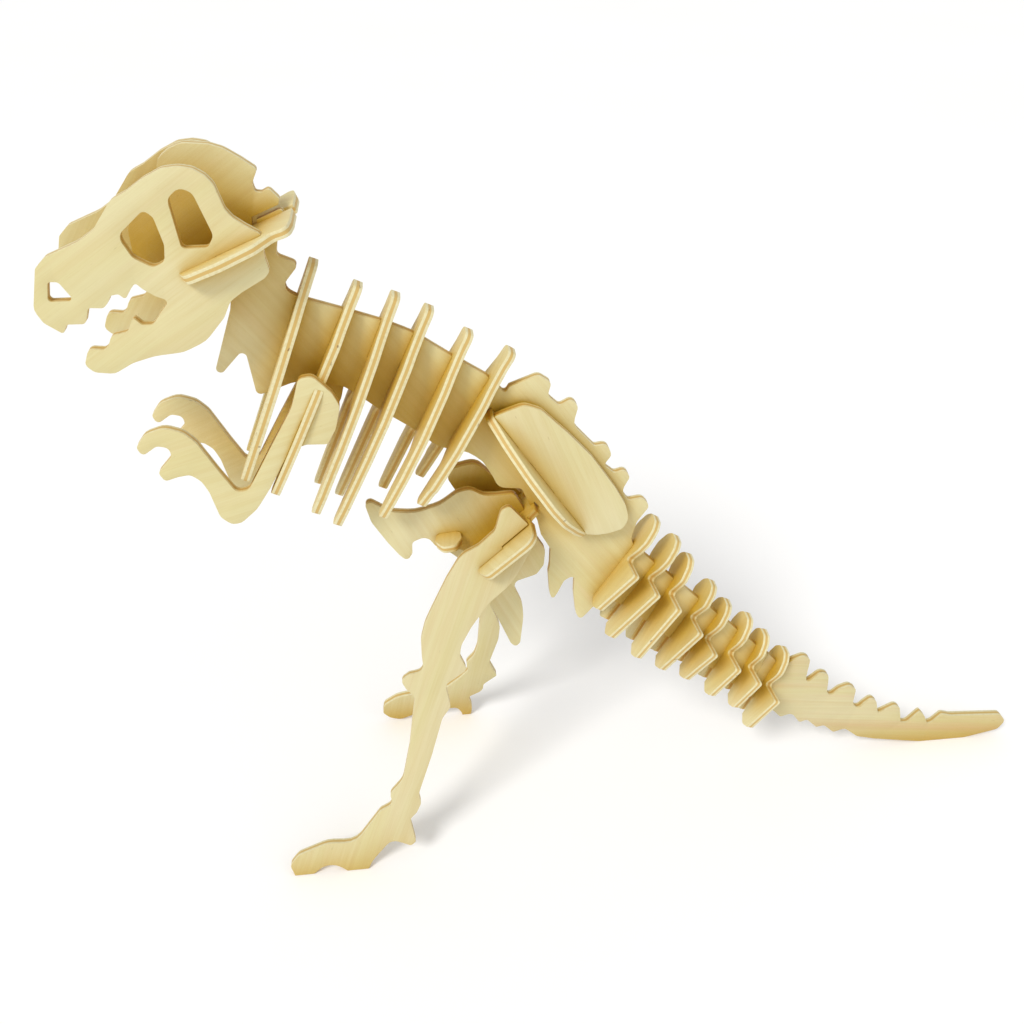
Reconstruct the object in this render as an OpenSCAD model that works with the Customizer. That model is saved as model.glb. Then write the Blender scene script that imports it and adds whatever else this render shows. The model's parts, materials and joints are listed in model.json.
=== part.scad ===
// Flat-pack plywood dinosaur: every piece is cut from one sheet and slotted into its neighbours.
// Side outlines are [x, z, corner radius] lists: x runs along the body, nose at -x, z is up.
// Cross pieces are [y, t] outlines, t measured down from the top of the piece.

/* [Sheet] */
// thickness of the plywood sheet
ply = 3; // [2.8:0.1:3.2]
// play across each slot
slot_gap = 0.1; // [0.06:0.02:0.16]

/* [Head] */
// distance of each outer skull plate from the middle
skull_half = 13.5; // [13:0.5:14.5]
// distance from the middle to each end of the cheek plate
cheek_half = 21; // [19:0.5:22]

/* [Ribs] */
// half width of a rib across its legs
rib_half = 13.5; // [13:0.5:14.5]
// half width of the gap between the legs of a rib
rib_inner = 7; // [6.5:0.5:7.5]
// distance of each arm from the middle
arm_half = 10.5; // [10:0.5:11]

/* [Hips] */
// lean of each leg away from upright, degrees
splay = 11.5; // [10.5:0.5:12.5]
// distance of each leg from the middle at the hip line
hip_half = 8; // [7.5:0.5:8.5]
// half width of the plate the legs hang on
thigh_half = 22.5; // [21:0.5:24]
// half width of the hip plate at its broadest
hip_plate_half = 18.5; // [17:0.5:20]
// distance of each hip leaf from the middle
leaf_half = 5; // [4.5:0.5:6]

/* [Tail] */
// half width of the upper tongue of a vertebra
tongue_half = 6.5; // [5.5:0.5:7.5]
// half width of a vertebra at the neck under its tongue
neck_half = 3.2; // [2.6:0.2:4]
// half width across the wings of a vertebra
wing_half = 15; // [13.5:0.5:16.5]
// distance of each lower tip of a vertebra from the middle
tip_half = 9.3; // [8.5:0.2:10.5]

/* [Output] */

/* [Hidden] */
// moves the side outlines so that the origin is halfway along the body
mid_x = 2;
// width of every square slot
slot = ply + slot_gap;
// a slot through a sheet that is met at a slant has to be wider
slant_slot = slot + 0.6;
// small step that keeps two touching pieces apart
touch = 0.05;
// height of the line the legs lean about
hip_z = 162;
// lean, top [x, z], length and end of the solid bridge of each rib, from the neck to the hip
rib_lean = [23, 26, 23.7, 25.8, 27, 32];
rib_top = [[-109, 246], [-96, 238], [-84.5, 234], [-74, 229], [-61.5, 220], [-47.5, 212.5]];
rib_long = [79, 79, 83, 85, 73.5, 63.5];
rib_bridge = [24, 23.5, 23.5, 23.5, 23.5, 20];
// lean, top [x, z], length, wing height and end of the solid part of each vertebra
vert_lean = [31.5, 31.5, 24, 28, 26, 21.5, 18, 20];
vert_top = [[8, 139], [17, 129], [23, 119.5], [34, 105], [41.5, 94.5], [51.5, 86],
    [60, 76], [70.5, 65]];
vert_long = [44, 50, 50, 44, 39, 40.5, 38, 41];
vert_wing = [18.5, 18.5, 16, 15.5, 17, 17.5, 16, 17];
vert_solid = [28.5, 25.5, 23.5, 20, 18, 19.5, 19, 18];
// the cheek plate: front lower end of its section and its lean
cheek_at = [-147, 247.5];
cheek_lean = 67.4;
cheek_long = 37;
// the hip plate: lower end of its section and its lean
hip_at = [-20.4, 136];
hip_lean = -33.1;
hip_long = 65.5;
// the thigh plate: middle of its section and its lean
thigh_at = [-51.5, 139.2];
thigh_lean = 51.2;
thigh_reach = 12;
// where a leg meets the thigh plate, and the slant of the leg in the sheet of that plate
leg_y = hip_half + (hip_z - thigh_at[1]) * tan(splay);
leg_turn = atan(cos(thigh_lean) * tan(splay));
// slot of the leg, measured in the sheet of the leg
leg_slot_at = [thigh_at[0], (thigh_at[1] - hip_z) / cos(splay)];
leg_slot_lean = atan(tan(thigh_lean) * cos(splay));
// the hip leaves stand on the hip plate with two pegs each
peg_at = [17, 41];
peg_long = 8;
// the small bar: where it passes through the front of the pelvis, its lean and half its waist
bar_at = [-71.4, 138.4];
bar_lean = 84;
bar_waist = 3.4;
// the cut between spine and tail end: where the knob's neck crosses it and how far it leans
cut_at = [58.4, 50.8];
cut_lean = 16.3;
// the knob: its radius, and how far its middle lies from the cut
knob_r = 3;
knob_reach = 5;

// ---------------------------------------------------------------- outlines
function unit(v) = v / norm(v);

// arc that rounds corner b between a and c
function corner(a, b, c) =
    let (p = [b[0], b[1]],
         u = unit([a[0], a[1]] - p),
         v = unit([c[0], c[1]] - p),
         half = acos(max(-1, min(1, u * v))) / 2)
    (b[2] <= 0 || half > 86 || half < 3) ? [p] :
    let (room = 0.48 * min(norm([a[0], a[1]] - p), norm([c[0], c[1]] - p)),
         reach = min(b[2] / tan(half), room),
         r = reach * tan(half),
         mid = p + unit(u + v) * (r / sin(half)),
         from = p + u * reach - mid,
         turn = (u[0] * v[1] - u[1] * v[0]) > 0 ? -1 : 1,
         sweep = turn * (180 - 2 * half),
         steps = max(2, ceil(abs(sweep) / 20)))
    [for (i = [0:steps])
        let (q = sweep * i / steps)
        mid + [from[0] * cos(q) - from[1] * sin(q), from[0] * sin(q) + from[1] * cos(q)]];

function rounded(pts) = let (n = len(pts))
    [for (i = [0:n - 1]) for (q = corner(pts[(i + n - 1) % n], pts[i], pts[(i + 1) % n])) q];

// one side of a cross piece, mirrored across the middle
function both(pts) = let (n = len(pts))
    concat(pts, [for (i = [n - 1:-1:0]) [-pts[i][0], pts[i][1], pts[i][2]]]);

// round knob that joins the tail end to the spine, listed from its upper neck to its lower
function knob(r) =
    let (neck = r - 1.2,
         half = asin(neck / r),
         up = [sin(cut_lean), cos(cut_lean)],
         mid = cut_at - knob_reach * [up[1], -up[0]])
    concat([[each cut_at + neck * up, 0]],
        [for (q = [half - cut_lean:15:360 - half - cut_lean]) [each mid + r * [cos(q), sin(q)], 0]],
        [[each cut_at - neck * up, 0]]);

function reversed(v) = [for (i = [len(v) - 1:-1:0]) v[i]];

// ---------------------------------------------------------------- sheets
// a sheet standing along the body
module plate(y) {
    translate([mid_x, y, 0]) rotate([90, 0, 0])
        linear_extrude(height = ply, center = true) children();
}

// a sheet standing across the body, its outline measured down from its top
module cross(top, lean) {
    translate([top[0] + mid_x, 0, top[1]]) rotate([0, lean, 0]) rotate([90, 0, 90])
        linear_extrude(height = ply, center = true) children();
}

// a straight slot in a side outline, along a leaning line from a to b below the given top
module slot_line(top, lean, a, b, w) {
    translate(top) rotate(-lean) translate([-w / 2, -b]) square([w, b - a]);
}

// a straight slot in a cross piece
module slot_down(y, a, b, w) {
    translate([y - w / 2, -b]) square([w, b - a]);
}

// ---------------------------------------------------------------- spine
module spine_outline() {
    polygon(rounded([
        [-138.6, 246, 2], [-138, 251.2, 0], [-123.8, 257.2, 0], [-124.4, 259.6, 0.5],
        [-116.6, 262.8, 1], [-114.5, 258, 1], [-119, 253.5, 1], [-120, 248.5, 1.5],
        [-113.5, 245.5, 1.5], [-120, 238, 5], [-114, 234.2, 4],
        [-102, 230, 0], [-90, 225.5, 0], [-80, 220.8, 30], [-68, 212, 20], [-56.3, 204, 1],
        [-53, 200.5, 1], [-50, 196.8, 1], [-48.5, 199.3, 1], [-38.5, 203.2, 2.5],
        [-34, 200, 2], [-35.3, 195, 3], [-31, 190.8, 1.5], [-26.5, 193.3, 2.5],
        [-24.4, 190, 2.5], [-26, 183, 5], [-17.8, 173.6, 1.5], [-13.5, 174.3, 2.5],
        [-11.3, 169.5, 2.5], [-14.2, 165.4, 2], [-9.8, 161.6, 1.5], [-6, 162.8, 2],
        [-4, 159.5, 2], [-6.8, 153.5, 4], [-3.8, 149, 1.5], [1.5, 149.8, 2.5],
        [4.5, 146, 2.5], [0, 139, 4], [-2, 130, 6],
        [5, 122.2, 4], [20, 106.8, 0], [34, 92.8, 0], [62.35, 64.4, 0.5],
        each knob(knob_r), [55.75, 42, 0.5], [0, 96, 3], [-10, 103, 3],
        [-15.2, 98, 1.5], [-17, 95.5, 1.5], [-20, 91.8, 1.8],
        [-21.8, 96, 4], [-23, 106, 5], [-23, 115.4, 2.5], [-27, 113, 3], [-29.5, 107, 4],
        [-31.4, 103.5, 1.6], [-32.6, 107, 4], [-33.4, 117, 1.5], [-32.9, 121, 1],
        [-32.8, 129, 1.5], [-36.6, 136.2, 1], [-38.1, 143, 2], [-44, 157.5, 2],
        [-52.5, 158.5, 5], [-54.5, 163.5, 6], [-58, 170, 5],
        [-63, 174.5, 12], [-73.3, 177, 12], [-83, 186, 14], [-93, 193.5, 10],
        [-103.5, 203, 14], [-118, 206, 12], [-132.5, 201, 1.6], [-134, 218.5, 1.5],
        [-146.5, 205.5, 1.6], [-141.3, 219, 8], [-135.5, 234, 8]]));
}

module spine() {
    color("burlywood") plate(0) difference() {
        spine_outline();
        for (i = [0:5])
            slot_line(rib_top[i], rib_lean[i], -5, rib_bridge[i] + touch, slot);
        for (i = [0:6])
            slot_line(vert_top[i], vert_lean[i], -5, vert_solid[i] + touch, slot);
        slot_line(hip_at, hip_lean, -hip_long - touch, touch, slot);
        slot_line(cheek_at, cheek_lean, -26 - touch, -5, slot);
        slot_line(thigh_at, thigh_lean, -thigh_reach - 5 - touch, 8, slot);
    }
}

module tail_end() {
    color("burlywood") plate(0) difference() {
        polygon(rounded([
            [62.45, 64.4, 0.5], [66.5, 60.4, 0.5], [68.5, 52.5, 1], [73.6, 59.2, 4],
            [79, 61.6, 3], [82.3, 59.5, 3], [82.2, 49.4, 4], [82.8, 44.8, 1.5],
            [86, 48, 3], [88.6, 50.9, 3], [92.4, 49, 3], [93, 44.5, 5], [93.5, 38.5, 3],
            [95.6, 35.4, 1.5], [99.2, 39.4, 3], [103.5, 41.2, 2.5], [107, 38.6, 2.5],
            [107.3, 29.2, 5], [110.6, 25.7, 1.5], [112.8, 28.9, 3], [115.8, 32, 2.5],
            [118.4, 29.6, 2.5], [120.9, 21.5, 1], [124, 23.4, 3], [128.3, 26, 2.5],
            [130.8, 23.9, 2.5], [133.4, 14.3, 1], [136.6, 13.5, 2], [141.4, 20.6, 0.8],
            [144.3, 17, 4], [147, 11.6, 1], [149.2, 12.6, 2], [152.6, 17.3, 1.2],
            [157.5, 15.7, 6], [182, 13.7, 3], [186, 9, 3.5], [183.5, 3.8, 3],
            [168, 0, 6], [146, 0, 6], [123, 4.6, 20], [113.7, 7.4, 2], [109, 11.5, 2],
            [106.5, 13.4, 2], [101.5, 11.6, 1.5], [96.2, 16.8, 2], [92.6, 16, 1.5],
            [87.2, 21.7, 2], [84, 20, 1.5], [79.3, 26.8, 3], [74.2, 24.8, 1.5],
            [71, 28.6, 4], [55.85, 42, 0.5],
            each reversed(knob(knob_r - slot_gap))]));
        for (i = [6:7])
            slot_line(vert_top[i], vert_lean[i], -5, vert_solid[i] + touch, slot);
    }
}

// ---------------------------------------------------------------- head
module skull_outline() {
    polygon(rounded([
        [-186.3, 252.5, 2], [-183, 255.6, 3], [-173, 259.6, 8], [-168, 262.8, 6],
        [-161.5, 271, 5], [-157, 273.2, 4], [-151.5, 276.8, 6], [-146, 279.4, 5],
        [-141.5, 279.8, 5], [-137.8, 279.1, 4], [-134.7, 277.1, 3], [-132.7, 274.5, 4],
        [-130.8, 267.5, 4], [-129, 265, 4], [-126, 262.7, 3], [-121.8, 260, 1.5],
        [-121.7, 253, 4], [-120.8, 248.7, 1.5], [-122.5, 246.7, 2], [-129.5, 242.8, 10],
        [-133.5, 240, 5], [-136, 235, 6], [-142.6, 227.6, 10], [-149.8, 224.3, 10],
        [-158.6, 223.5, 20], [-165.6, 221.5, 10], [-171.6, 218.2, 4], [-177.5, 219, 3],
        [-179.8, 221.6, 2], [-177.6, 226.8, 2], [-173, 226.2, 1.5], [-171.5, 227.5, 2],
        [-170, 230.7, 2], [-165, 231.7, 2], [-162.5, 236.2, 0.6], [-160.4, 233.8, 1.5],
        [-157.2, 233.6, 2], [-154.5, 237, 5], [-151, 241, 1.2], [-154.8, 242.7, 6],
        [-158, 245.1, 3], [-159.6, 247, 0.8], [-161.2, 245.2, 1.5], [-163.4, 242, 0.8],
        [-165, 243.8, 1.2], [-167.3, 243.4, 1], [-168.6, 241.2, 2], [-170.2, 239.6, 1.5],
        [-174.6, 239.9, 1.2], [-176.4, 234.9, 1.5], [-181.9, 235, 1.2], [-183.4, 232, 0.8],
        [-188.2, 235.8, 3], [-190, 240, 4]]));
}

module skull_side(side) {
    color("burlywood") plate(side * skull_half) difference() {
        skull_outline();
        polygon(rounded([[-184, 248.3, 1], [-181, 248.2, 1.5], [-177.8, 242.3, 1],
            [-185.4, 242.3, 1]]));
        polygon(rounded([[-161.6, 261, 3], [-153, 268.2, 3], [-150.7, 266, 2],
            [-149.2, 258, 4], [-150, 253, 2.5], [-153.6, 251.3, 2.5], [-158.8, 254.5, 3]]));
        polygon(rounded([[-146, 271, 3], [-142.3, 274.1, 3], [-138.8, 272.5, 3],
            [-135, 260, 3], [-137.2, 256.6, 1.5], [-144.6, 256.6, 1.5]]));
        slot_line(cheek_at, cheek_lean, -cheek_long, -13 + touch, slot);
    }
}

module skull_middle() {
    color("burlywood") plate(0) difference() {
        polygon(rounded([
            [-162, 258, 3], [-159.5, 264.5, 3], [-153, 268.5, 3], [-151, 272, 2],
            [-149.4, 278.5, 3], [-146, 281.1, 5], [-142, 282.6, 5],
            [-134.6, 282, 6], [-130.8, 280.7, 6], [-126.2, 277.7, 4], [-122, 274.5, 1.2],
            [-124, 270.5, 1.5], [-123.5, 268, 1], [-121.7, 267.8, 1], [-119.5, 269, 1.2],
            [-116.7, 265.8, 1], [-117.3, 264, 0.6], [-125.6, 260.6, 0.5], [-125.8, 257, 0],
            [-139.5, 251, 0], [-140.2, 246, 1.5],
            [-146, 243.6, 1.5], [-156, 243, 3], [-162, 250, 3]]));
        slot_line(cheek_at, cheek_lean, -cheek_long, -8 + touch, slot);
    }
}

module cheek_plate() {
    color("burlywood") cross(cheek_at, cheek_lean) difference() {
        polygon(rounded(both([[cheek_half - 8, 0, 2], [cheek_half - 1.5, 3, 3],
            [cheek_half, 14, 6], [cheek_half - 1, 25, 5], [cheek_half - 5, 31, 3],
            [cheek_half - 3, cheek_long - 1, 2.5], [cheek_half - 9, cheek_long, 3]])));
        for (side = [-1, 1])
            slot_down(side * skull_half, -13, 1, slot);
        slot_down(0, -8, 1, slot);
        slot_down(0, -cheek_long - 1, -26, slot);
    }
}

// ---------------------------------------------------------------- ribs and arms
module rib(i) {
    color("burlywood") cross(rib_top[i], rib_lean[i]) difference() {
        polygon(rounded(both([[3.8, 0, 2.4], [4.3, -6, 4], [6.5, -14, 8],
            [9, -20, 10], [rib_half - 0.6, -38, 16], [rib_half, -54, 16],
            [rib_half - 1, -rib_long[i] + 8, 8], [rib_half - 2.2, -rib_long[i], 1.9],
            [rib_inner + 0.4, -rib_long[i] + 0.8, 1.7], [rib_inner, -rib_long[i] + 10, 8],
            [rib_inner, -46, 4], [slot / 2 + 0.8, -39.5, 2], [slot / 2, -37, 0]])));
        slot_down(0, rib_bridge[i], 41, slot);
        if (i == 1)
            for (side = [-1, 1])
                slot_down(side * arm_half, 10, 47 + touch, slot);
    }
}

module arm(side) {
    back = side > 0 ? 1.2 : 0;
    color("burlywood") plate(side * arm_half) difference() {
        translate([back, 0]) polygon(rounded([
            [-117.3, 211.7, 2.5], [-112.8, 212.3, 3], [-107.2, 206, 5], [-105, 201, 4],
            [-107.2, 192.6, 8], [-110.4, 187, 1.5], [-117.3, 187.3, 1], [-123, 185.6, 5],
            [-131.4, 171, 20], [-137, 162.7, 12], [-143, 157.4, 4], [-146.4, 157, 3],
            [-149.8, 160.3, 4], [-151.8, 170.8, 8], [-153.6, 175.4, 5], [-156.8, 178.2, 2.5],
            [-160.8, 177.6, 4], [-165.3, 176.2, 1.4], [-166.9, 179.6, 1.6],
            [-161.5, 185.5, 2.5], [-161.6, 189, 2.5], [-165.4, 189.9, 2], [-170.6, 186.4, 1.5],
            [-171.9, 189.8, 1.7], [-168.4, 194.4, 5], [-162, 196.6, 6], [-156.3, 194.3, 5],
            [-152.8, 190.5, 8], [-147.2, 178.6, 12], [-142.8, 170, 2.5], [-138.6, 170.8, 3],
            [-129.5, 186.5, 20], [-120.5, 201.5, 20]]));
        slot_line(rib_top[1], rib_lean[1], 47, 79, slot);
    }
}

// ---------------------------------------------------------------- hips
module hip_plate() {
    color("burlywood") cross(hip_at, hip_lean) difference() {
        polygon(rounded(both([[4.5, 0.5, 1.5], [10, 7, 5], [hip_plate_half - 2, 17, 8],
            [hip_plate_half, 26, 14], [hip_plate_half - 1.5, 41, 20],
            [hip_plate_half - 6, 55, 16], [6.5, hip_long - 0.5, 3]])));
        for (side = [-1, 1])
            for (v = peg_at)
                slot_down(side * leaf_half, -v - peg_long - touch, -v + touch, slot);
    }
}

module hip_leaf(side) {
    color("burlywood") plate(side * leaf_half) difference() {
        polygon(rounded([[-58, 184, 0], [-54, 191, 2], [-49.7, 192.6, 3], [-43.9, 194.6, 5],
            [-38, 192.2, 5], [-29, 183, 20], [-19.8, 172.6, 30], [-10.3, 158.4, 20],
            [-6, 150.5, 6], [-4.4, 144.2, 5], [-6.5, 139.8, 3], [-11.7, 138.2, 5],
            [-16.3, 137.8, 5], [-20.2, 138.4, 0], [-30, 140, 0], [-60, 170, 0]]));
        // the straight foot of the leaf, with two pegs left standing
        translate(hip_at) rotate(-hip_lean) {
            translate([-60, -30]) square([60 - ply / 2 - 0.3, 130]);
            translate([-10, -30]) square([10 + slot / 2, 30 + peg_at[0]]);
            translate([-10, peg_at[0] + peg_long])
                square([10 + slot / 2, peg_at[1] - peg_at[0] - peg_long]);
            translate([-10, peg_at[1] + peg_long]) square([10 + slot / 2, 60]);
        }
    }
}

module pelvis() {
    color("burlywood") plate(0) difference() {
        polygon(rounded([
            [-101, 154.5, 1.5], [-99, 155.7, 2], [-92, 150.6, 6], [-83.2, 149.5, 12],
            [-74, 152.3, 12], [-67.5, 157.4, 6], [-62.8, 158.5, 4], [-58, 155.2, 6],
            [-53, 155, 5], [-46.6, 155.4, 2.5], [-40.4, 142.5, 8], [-38.8, 135.8, 6],
            [-34.8, 128.6, 4], [-35, 125, 2], [-35.2, 121.5, 2.5], [-38, 117, 3],
            [-46.3, 114.2, 2.5], [-46.6, 110.7, 3], [-43.4, 102.2, 10], [-43, 95.4, 20],
            [-44.2, 82, 2], [-46, 80, 1.2], [-48, 82, 3], [-50.7, 89.2, 20],
            [-54.2, 98.6, 20], [-57, 105, 6], [-61, 118, 14], [-65, 131, 4], [-76, 133.4, 3],
            [-79.5, 138.9, 4], [-85, 136.4, 2], [-85.2, 131.2, 2], [-87.2, 127.8, 1.5],
            [-90, 130.7, 6], [-94, 137, 10], [-99.3, 146.7, 8]]));
        slot_line(thigh_at, thigh_lean, -30, touch, slot);
        slot_line(bar_at, bar_lean, -bar_waist - touch, bar_waist + touch, slot);
    }
}

module pubis_bar() {
    // waisted in the middle, so that it snaps into the pelvis
    color("burlywood") cross(bar_at, bar_lean)
        polygon(rounded(both([[slot / 2 + 0.1, bar_waist, 0], [2.4, 4.6, 1], [6, 4.9, 2.5],
            [10, 2.5, 2.5], [10, -2.5, 2.5], [6, -4.9, 2.5], [2.4, -4.6, 1],
            [slot / 2 + 0.1, -bar_waist, 0]])));
}

module thigh_plate() {
    color("burlywood") cross(thigh_at, thigh_lean) difference() {
        polygon(rounded(both([[8, -thigh_reach, 2], [thigh_half - 4, -thigh_reach + 0.5, 1.5],
            [thigh_half, -thigh_reach + 3, 3], [thigh_half - 2, thigh_reach + 1.5, 5],
            [9, thigh_reach + 1.5, 2], [6.5, thigh_reach, 1], [5, thigh_reach + 4.5, 1]])));
        slot_down(0, 0, thigh_reach + 2, slot);
        for (side = [-1, 1])
            translate([side * leg_y, 0]) rotate(side * leg_turn)
                translate([-slant_slot / 2, -30]) square([slant_slot, 30]);
    }
}

module leg_sheet(side) {
    difference() {
        translate([mid_x, side * hip_half, hip_z]) rotate([side * splay, 0, 0])
            rotate([90, 0, 0]) linear_extrude(height = ply, center = true) difference() {
                children();
                slot_line(leg_slot_at, leg_slot_lean, -40, touch, slant_slot);
            }
        translate([-200, -100, -40]) cube([400, 200, 40]);
    }
}

module leg_left() {
    color("burlywood") leg_sheet(-1) polygon(rounded([
        [-52.5, -7.5, 3], [-49.5, -6, 1.5], [-42.8, -13.8, 5], [-41, -18, 4], [-41.4, -23, 6],
        [-49.2, -37, 20], [-58.3, -45, 12], [-65.1, -54.7, 10], [-69.2, -62.2, 8],
        [-69.8, -66.6, 3], [-67.3, -73, 2], [-76, -79, 3], [-74.3, -89.3, 3],
        [-77.8, -94, 8], [-82.8, -111, 30], [-89.2, -129.8, 6], [-88.4, -134.4, 3],
        [-90.4, -138.8, 3], [-93.4, -142, 3], [-91.7, -153.7, 1.2], [-93.8, -155.6, 1.2],
        [-101.5, -151.5, 4], [-110, -161.5, 14], [-113, -168, 0], [-118, -168, 0],
        [-127.5, -159.6, 14], [-137, -168, 0], [-141.5, -168, 0], [-143.6, -160.2, 3],
        [-139.7, -155.2, 5], [-127.4, -150.4, 10], [-116.3, -151.6, 8], [-105, -136.4, 3],
        [-99.8, -133.7, 3], [-100.6, -128.6, 3], [-95, -122.2, 8], [-91.2, -105.5, 30],
        [-89, -90.6, 20], [-87.8, -83.4, 3], [-91, -79.5, 3], [-92.8, -75.6, 2],
        [-89.5, -73.2, 2], [-83.8, -72.2, 3], [-84.2, -65.3, 12], [-84.1, -58.3, 12],
        [-82.2, -51.5, 10], [-79.7, -46.2, 20], [-73.2, -33.4, 20], [-68.4, -25.6, 6],
        [-66.2, -23.6, 5], [-61, -21, 6], [-54.8, -15.5, 4], [-53.8, -11.8, 4]]));
}

module leg_right() {
    color("burlywood") leg_sheet(1) polygon(rounded([
        [-69, 1, 3], [-60, 3.5, 5], [-53.5, -4.5, 6], [-49.5, -6, 3], [-42.8, -13.8, 5],
        [-41, -18, 4], [-41.4, -26, 8],
        [-45.5, -44, 20], [-50, -58, 12], [-52.2, -66, 6], [-49.5, -73, 2], [-54.6, -79.5, 3],
        [-52.3, -87, 6], [-49.8, -96.6, 10], [-50.4, -106, 14], [-53, -117, 14],
        [-54.4, -123.2, 4], [-50.8, -134, 1.4], [-57, -140.4, 3], [-57.2, -144, 2],
        [-58.6, -146.4, 3], [-64.2, -150, 3], [-62.4, -158.6, 14], [-63.5, -170, 0],
        [-67, -170, 0], [-67.4, -163.3, 8], [-69.7, -158.3, 3], [-74, -158.6, 8],
        [-90.9, -161.6, 10], [-97, -164.6, 4], [-102, -162.4, 3], [-105, -158, 3],
        [-104, -151.4, 5], [-98, -146.2, 5], [-91.5, -144.1, 10], [-82, -146.5, 14],
        [-73.6, -140, 4], [-68.3, -134.1, 3], [-64, -128.3, 3], [-64.9, -122.6, 4],
        [-61.2, -116.8, 8], [-59.6, -110, 16], [-58.5, -89.8, 10], [-62, -82, 3],
        [-66.5, -75.5, 2], [-61.5, -70, 3], [-62, -58, 14], [-68, -48, 10],
        [-76, -39, 2], [-73, -26, 10], [-67, -12, 5], [-70.5, -4, 3]]));
}

// ---------------------------------------------------------------- tail
module vertebra(i) {
    w = vert_wing[i];
    n = vert_long[i];
    color("burlywood") cross(vert_top[i], vert_lean[i]) difference() {
        polygon(rounded(both([[2.4, 0, 2.2], [tongue_half - 1.6, -2.4, 4],
            [tongue_half, -8, 6], [tongue_half - 0.8, -w + 5.5, 4],
            [neck_half, -w - 1.2, 1.2], [wing_half, -w, 0.9], [tip_half, -n + 2, 1],
            [tip_half - 4, -n, 2], [slot / 2 + 0.4, -n + 2.2, 0.8]])));
        slot_down(0, vert_solid[i], n, slot);
    }
}

// ---------------------------------------------------------------- the pieces
spine();
tail_end();
skull_side(-1);  // skull_left
skull_side(1);  // skull_right
skull_middle();
cheek_plate();
rib(0);  // rib_1
rib(1);  // rib_2
rib(2);  // rib_3
rib(3);  // rib_4
rib(4);  // rib_5
rib(5);  // rib_6
arm(-1);  // arm_left
arm(1);  // arm_right
hip_plate();
hip_leaf(-1);  // hip_leaf_left
hip_leaf(1);  // hip_leaf_right
pelvis();
thigh_plate();
pubis_bar();
leg_left();
leg_right();
vertebra(0);  // vertebra_1
vertebra(1);  // vertebra_2
vertebra(2);  // vertebra_3
vertebra(3);  // vertebra_4
vertebra(4);  // vertebra_5
vertebra(5);  // vertebra_6
vertebra(6);  // vertebra_7
vertebra(7);  // vertebra_8
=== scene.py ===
import json
import math
import random

import bmesh
import bpy
from mathutils import Matrix, Vector


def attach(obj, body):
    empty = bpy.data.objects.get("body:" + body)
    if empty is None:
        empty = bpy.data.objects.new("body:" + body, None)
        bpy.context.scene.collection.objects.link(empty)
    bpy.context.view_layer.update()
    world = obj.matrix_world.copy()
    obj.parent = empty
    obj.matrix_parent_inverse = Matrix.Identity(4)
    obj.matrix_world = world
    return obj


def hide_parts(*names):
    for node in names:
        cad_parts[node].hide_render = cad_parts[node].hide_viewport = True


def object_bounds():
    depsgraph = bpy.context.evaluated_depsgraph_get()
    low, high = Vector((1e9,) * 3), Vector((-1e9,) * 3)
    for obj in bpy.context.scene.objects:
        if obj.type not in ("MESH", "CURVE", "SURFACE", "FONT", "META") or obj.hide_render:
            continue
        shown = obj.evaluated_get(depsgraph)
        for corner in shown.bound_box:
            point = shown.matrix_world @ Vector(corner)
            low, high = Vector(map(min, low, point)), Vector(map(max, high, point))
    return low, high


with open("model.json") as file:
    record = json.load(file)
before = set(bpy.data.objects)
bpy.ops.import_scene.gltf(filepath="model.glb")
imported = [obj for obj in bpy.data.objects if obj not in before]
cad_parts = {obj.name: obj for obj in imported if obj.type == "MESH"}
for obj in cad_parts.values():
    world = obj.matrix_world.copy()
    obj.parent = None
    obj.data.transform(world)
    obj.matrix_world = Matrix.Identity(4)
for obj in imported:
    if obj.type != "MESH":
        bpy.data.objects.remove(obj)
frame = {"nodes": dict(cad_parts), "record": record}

CAD_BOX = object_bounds()
NODES = frame["nodes"]
SLOT = {s["node"]: s["material_slot"] for s in frame["record"]["subparts"]}
BODY = {n: b for b, names in frame["record"]["behaviour"]["bodies"].items() for n in names}

PLY = 0.003  # thickness of the sheet
EASED = 0.00022  # how far the cut corners of the sheet are worn round
CORNER = math.radians(40)  # edges sharper than this are cut corners
SMOOTH = math.radians(32)  # faces that meet at less than this look like one curve
FACING = 0.8  # faces this close to the sheet's own direction are its two flat sides

# linear colours of the bare wood, and the painted shade colour that multiplies it in deep hollows
# and between parts
CREAM = (0.70, 0.625, 0.315)
PALE = (0.755, 0.695, 0.43)
PINK = (0.735, 0.595, 0.36)
GOLD = (0.55, 0.39, 0.11)
SPECK = (0.16, 0.075, 0.025)
CORE = (0.62, 0.42, 0.14)
PAINTED_HOLLOW_SHADE = (0.80, 0.55, 0.03)

# pieces that were cut from a duller sheet than the others
DULLER = {"tail_end": 0.13, "leg_left": 0.09, "leg_right": 0.05}

# where the middle layer of the sheet ends, as a share of the way from its middle to a face
CORE_ENDS = (0.33, 0.44)


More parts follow.
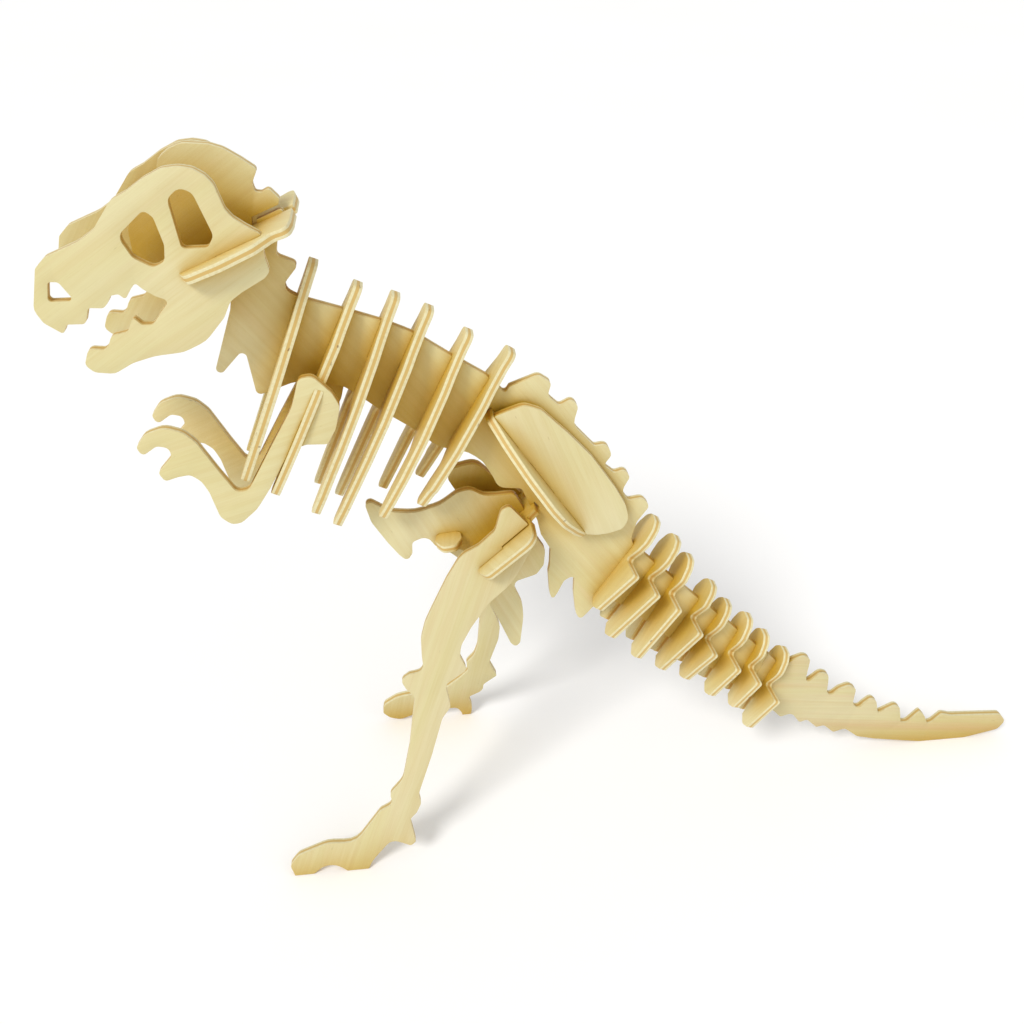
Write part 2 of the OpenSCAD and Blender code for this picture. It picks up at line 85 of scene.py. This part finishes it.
# ---------------------------------------------------------------- materials
class Shader:
    """A material's node tree with short calls for the nodes used here."""

    def __init__(self, name):
        self.material = bpy.data.materials.new(name)
        self.material.use_nodes = True
        self.tree = self.material.node_tree
        self.surface = self.tree.nodes["Principled BSDF"]

    def put(self, socket, value):
        """Links value to the socket if it is a node's output, and sets it otherwise."""
        if isinstance(value, bpy.types.NodeSocket):
            self.tree.links.new(value, socket)
        else:
            socket.default_value = value

    def node(self, kind, **settings):
        made = self.tree.nodes.new(kind)
        for name, value in settings.items():
            setattr(made, name, value)
        return made

    def math(self, operation, a, b=0.0):
        made = self.node("ShaderNodeMath", operation=operation)
        self.put(made.inputs[0], a)
        self.put(made.inputs[1], b)
        return made.outputs[0]

    def mix(self, share, a, b, blend="MIX"):
        made = self.node("ShaderNodeMix", data_type="RGBA", blend_type=blend)
        self.put(made.inputs[0], share)
        self.put(made.inputs[6], a)
        self.put(made.inputs[7], b)
        return made.outputs[2]

    def tint(self, base, colour, mask, share):
        """Mixes a share of the colour into base where the mask is 1."""
        return self.mix(self.math("MULTIPLY", mask, share), base, (*colour, 1))

    def ramp(self, value, start, end, low=0.0, high=1.0):
        """Goes evenly from the grey low at start to the grey high at end."""
        made = self.node("ShaderNodeValToRGB")
        for point, position, grey in zip(made.color_ramp.elements, (start, end), (low, high)):
            point.position = position
            point.color = (grey, grey, grey, 1)
        self.put(made.inputs[0], value)
        return made.outputs[0]

    def fall(self, value, start, end):
        return self.ramp(value, start, end, 1.0, 0.0)

    def stretched(self, vector, scale, offset=(0, 0, 0)):
        made = self.node("ShaderNodeMapping")
        self.put(made.inputs["Vector"], vector)
        made.inputs["Scale"].default_value = scale
        made.inputs["Location"].default_value = offset
        return made.outputs[0]

    def noise(self, vector, scale, detail=3.0, rough=0.5, warp=0.0):
        """Noise with about scale[i] features to each unit of the vector's axis i."""
        made = self.node("ShaderNodeTexNoise")
        self.put(made.inputs["Vector"], self.stretched(vector, scale))
        made.inputs["Scale"].default_value = 1.0
        made.inputs["Detail"].default_value = detail
        made.inputs["Roughness"].default_value = rough
        made.inputs["Distortion"].default_value = warp
        return made.outputs["Fac"]


def face_colour(s, flat, streaks, fibres, pink):
    """Pale veneer: cream clouds, a pink blush, golden grain and fibres, and a few dark pores."""
    clouds = s.noise(flat, (9, 26, 1), 3, 0.5, 0.6)
    figure = s.noise(flat, (5, 95, 1), 3, 0.55, 1.4)
    flecks = s.noise(flat, (240, 1900, 1), 2)
    colour = s.mix(s.ramp(clouds, 0.30, 0.72), (*CREAM, 1), (*PALE, 1))
    colour = s.tint(colour, PINK, s.ramp(figure, 0.42, 0.74), 0.30 + pink)
    colour = s.tint(colour, GOLD, s.ramp(streaks, 0.40, 0.66), 0.20)
    colour = s.tint(colour, GOLD, s.ramp(fibres, 0.46, 0.70), 0.13)
    return s.tint(colour, SPECK, s.ramp(flecks, 0.735, 0.775), 0.30)


def edge_colour(s, place, depth, sawn):
    """Cut edge: two pale outer layers, a darker core, a glue line between them and dark spots.
    Gives the colour and a mask of the core."""
    start, end = CORE_ENDS
    half = (start + end) / 2
    wavy = s.math("ADD", depth, s.math("MULTIPLY", s.noise(place, (150, 150, 0)), 0.10))
    core = s.fall(wavy, start, end)
    glue = s.math("MULTIPLY", s.ramp(wavy, start, half), s.fall(wavy, half, end))
    spots = s.noise(place, (260, 260, 0.9), 2)
    colour = s.mix(core, (*PALE, 1), (*CORE, 1))
    colour = s.tint(colour, GOLD, glue, 0.55)
    colour = s.tint(colour, GOLD, s.ramp(sawn, 0.40, 0.68), 0.32)
    return s.tint(colour, SPECK, s.ramp(spots, 0.70, 0.76), 0.65), core


def paint_hollow_shade(s, colour):
    """Paints golden shade into the wood's colour in hollows and between parts, where ambient
    occlusion finds nearby surfaces.
    """
    occlusion = s.node("ShaderNodeAmbientOcclusion", samples=8, only_local=False)
    occlusion.inputs["Distance"].default_value = 0.030
    # painted shade: the share of the golden shade colour, growing as the occlusion deepens
    painted_shade_share = s.math("MULTIPLY", s.fall(occlusion.outputs["AO"], 0.34, 0.93), 0.95)
    return s.mix(painted_shade_share, colour, (*PAINTED_HOLLOW_SHADE, 1), "MULTIPLY")


def plywood(name, seed, tone, pink):
    """Bare three-layer plywood. tone lightens or darkens the whole piece, and pink warms it.

    A piece's mesh carries two attributes for this: "sheet" is (along the grain, across the grain,
    depth), in metres but for the depth, which is -1 on one face and 1 on the other, and "face" is
    1 on the two faces and 0 on the cut edges."""
    pick = random.Random(seed)
    s = Shader(name)
    sheet = s.node("ShaderNodeAttribute", attribute_name="sheet").outputs["Vector"]
    face = s.node("ShaderNodeAttribute", attribute_name="face").outputs["Fac"]
    place = s.stretched(sheet, (1, 1, 1), (pick.uniform(0, 3), pick.uniform(0, 3), 0))
    flat = s.stretched(place, (1, 1, 0))
    split = s.node("ShaderNodeSeparateXYZ")
    s.put(split.inputs[0], sheet)
    depth = s.math("ABSOLUTE", split.outputs[2])

    streaks = s.noise(flat, (14, 420, 1), 5, 0.62, 0.35)
    fibres = s.noise(flat, (60, 2600, 1), 4, 0.7)
    sawn = s.noise(place, (900, 900, 1.2), 4, 0.6)
    edge, core = edge_colour(s, place, depth, sawn)
    # the bare wood colour with painted golden shade in the hollows
    wood = paint_hollow_shade(s, s.mix(face, edge, face_colour(s, flat, streaks, fibres, pink)))
    bright = s.node("ShaderNodeHueSaturation")
    bright.inputs["Value"].default_value = 1.0 + tone
    s.put(bright.inputs["Color"], wood)
    s.put(s.surface.inputs["Base Color"], bright.outputs[0])

    s.put(s.surface.inputs["Roughness"], s.math("ADD", s.math("MULTIPLY", streaks, 0.16), 0.50))
    s.surface.inputs["Specular IOR Level"].default_value = 0.34
    s.surface.inputs["Sheen Weight"].default_value = 0.06
    s.surface.inputs["Sheen Roughness"].default_value = 0.5

    raised = s.math("ADD", s.math("MULTIPLY", fibres, 0.55), s.math("MULTIPLY", streaks, 0.45))
    dug = s.math("SUBTRACT", s.math("MULTIPLY", sawn, 1.6), s.math("MULTIPLY", core, 0.8))
    relief = s.node("ShaderNodeMix", data_type="FLOAT")
    s.put(relief.inputs[0], face)
    s.put(relief.inputs[2], dug)
    s.put(relief.inputs[3], raised)
    bump = s.node("ShaderNodeBump")
    bump.inputs["Strength"].default_value = 0.35
    bump.inputs["Distance"].default_value = 0.00012
    s.put(bump.inputs["Height"], relief.outputs[0])
    s.put(s.surface.inputs["Normal"], bump.outputs[0])
    return s.material


def floor_material():
    s = Shader("studio_floor")
    where = s.node("ShaderNodeTexCoord").outputs["Object"]
    mottle = s.ramp(s.noise(where, (3, 3, 3)), 0.3, 0.7, 0.955, 0.97)
    s.put(s.surface.inputs["Base Color"], mottle)
    s.surface.inputs["Roughness"].default_value = 0.85
    s.surface.inputs["Specular IOR Level"].default_value = 0.1
    return s.material


# ---------------------------------------------------------------- sheets
def sheet_normal(mesh):
    """Direction across the sheet: the one that most of the surface faces."""
    one_side = Vector((0.31, 0.87, 0.38))  # no sheet stands along this direction
    totals = {}
    for polygon in mesh.polygons:
        n = polygon.normal
        if n.dot(one_side) < 0:
            n = -n
        key = (round(n.x, 2), round(n.y, 2), round(n.z, 2))
        area, total = totals.get(key, (0.0, Vector()))
        totals[key] = (area + polygon.area, total + n * polygon.area)
    return max(totals.values(), key=lambda t: t[0])[1].normalized()


def long_direction(points, normal):
    """Direction in the sheet along which the piece is longest."""
    start = normal.orthogonal().normalized()
    best = (0, start)
    for turn in range(0, 180, 5):
        way = Matrix.Rotation(math.radians(turn), 3, normal) @ start
        reach = [p.dot(way) for p in points]
        best = max(best, (max(reach) - min(reach), way), key=lambda b: b[0])
    return best[1]


def wear_corners(mesh):
    """Joins the triangles of flat stretches and rounds the cut corners a little."""
    bm = bmesh.new()
    bm.from_mesh(mesh)
    bmesh.ops.remove_doubles(bm, verts=bm.verts, dist=1e-6)
    bmesh.ops.dissolve_limit(
        bm, angle_limit=math.radians(0.5), verts=bm.verts, edges=bm.edges, delimit={"NORMAL"}
    )
    corners = [
        e for e in bm.edges
        if len(e.link_faces) == 2 and e.calc_face_angle(0) > CORNER
    ]
    bmesh.ops.bevel(
        bm, geom=corners, offset=EASED, offset_type="OFFSET", segments=2, profile=0.6,
        affect="EDGES", clamp_overlap=True,
    )
    bmesh.ops.triangulate(bm, faces=[f for f in bm.faces if len(f.verts) > 4])
    bm.to_mesh(mesh)
    bm.free()
    for polygon in mesh.polygons:
        polygon.use_smooth = True
    mesh.set_sharp_from_angle(angle=SMOOTH)


def mark_grain(mesh, normal, along, middle):
    """Stores the sheet coordinates and the faces that plywood() reads."""
    across = normal.cross(along)
    place = mesh.attributes.new("sheet", "FLOAT_VECTOR", "POINT")
    for vertex, value in zip(mesh.vertices, place.data):
        depth = (vertex.co.dot(normal) - middle) / (PLY / 2)
        value.vector = (vertex.co.dot(along), vertex.co.dot(across), depth)
    face = mesh.attributes.new("face", "FLOAT", "FACE")
    for polygon, value in zip(mesh.polygons, face.data):
        value.value = 1.0 if abs(polygon.normal.dot(normal)) > FACING else 0.0


def cut_sheet(node, seed):
    """The wooden piece for a CAD node: the same solid with worn corners, smooth curves and grain."""
    pick = random.Random(seed)
    source = NODES[node].data
    points = [v.co for v in source.vertices]
    normal = sheet_normal(source)
    depths = [p.dot(normal) for p in points]
    lean = math.radians(pick.gauss(0, 9))
    along = Matrix.Rotation(lean, 3, normal) @ long_direction(points, normal)

    mesh = source.copy()
    mesh.name = node + "_wood"
    wear_corners(mesh)
    mark_grain(mesh, normal, along, (min(depths) + max(depths)) / 2)
    piece = bpy.data.objects.new(node + "_wood", mesh)
    bpy.context.scene.collection.objects.link(piece)
    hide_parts(node)
    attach(piece, BODY[node])
    return piece


for number, node in enumerate(sorted(NODES)):
    shade = random.Random(700 + number)
    tone = shade.uniform(-0.035, 0.035) - DULLER.get(node, 0)
    pink = 0.8 if SLOT[node] == "pale_ply" else shade.uniform(-0.08, 0.16)
    piece = cut_sheet(node, 300 + number)
    piece.data.materials.clear()
    piece.data.materials.append(plywood(node + "_ply", 40 + number, tone, pink))


# ---------------------------------------------------------------- studio
low, high = CAD_BOX
middle = (Vector(low) + Vector(high)) / 2
reach = (Vector(high) - Vector(low)).length


def studio_floor():
    """A wide flat floor just under the feet."""
    width = 60 * reach
    drop = -0.0002
    corners = [(x * width, y * width, drop) for x, y in ((-1, -1), (1, -1), (1, 1), (-1, 1))]
    mesh = bpy.data.meshes.new("floor")
    mesh.from_pydata(corners, [], [(0, 1, 2, 3)])
    floor = bpy.data.objects.new("floor", mesh)
    bpy.context.scene.collection.objects.link(floor)
    mesh.materials.append(floor_material())


def lamp(name, kind, azimuth, elevation, power, distance=1.3):
    """A lamp that shines on the middle of the object, from the camera's side at azimuth 0 and
    from the tail at 90."""
    light = bpy.data.lights.new(name, kind)
    light.energy = power
    stand = bpy.data.objects.new(name, light)
    a, e = math.radians(azimuth), math.radians(elevation)
    away = Vector((math.sin(a) * math.cos(e), -math.cos(a) * math.cos(e), math.sin(e)))
    stand.location = middle + away * distance
    stand.rotation_euler = away.to_track_quat("Z", "Y").to_euler()
    bpy.context.scene.collection.objects.link(stand)
    return light


def studio_light():
    """A broad key light from the upper left, a weak fill from the right and an even white sky."""
    key = lamp("key", "SUN", -44, 46, 1.75)
    key.angle = math.radians(18)
    key.color = (1.0, 0.985, 0.955)
    fill = lamp("fill", "AREA", 48, 30, 1.2)
    fill.shape = "SQUARE"
    fill.size = 0.9
    world = bpy.data.worlds.new("studio")
    world.use_nodes = True
    sky = world.node_tree.nodes["Background"]
    sky.inputs["Color"].default_value = (1.0, 1.0, 1.0, 1)
    sky.inputs["Strength"].default_value = 0.66
    bpy.context.scene.world = world


def studio_camera():
    """A close camera, 35 degrees above the side view and 6 degrees round towards the nose."""
    ahead = Vector((0.0912, 0.8134, -0.5746)).normalized()
    camera = bpy.data.objects.new("camera", bpy.data.cameras.new("camera"))
    camera.location = (-0.0793, -0.3023, 0.3598)
    camera.rotation_euler = (-ahead).to_track_quat("Z", "Y").to_euler()
    camera.data.sensor_width = 36
    camera.data.lens = 35.16
    camera.data.clip_start = 0.01
    bpy.context.scene.collection.objects.link(camera)
    bpy.context.scene.camera = camera


studio_floor()
studio_light()
studio_camera()
bpy.context.scene.view_settings.view_transform = "Standard"
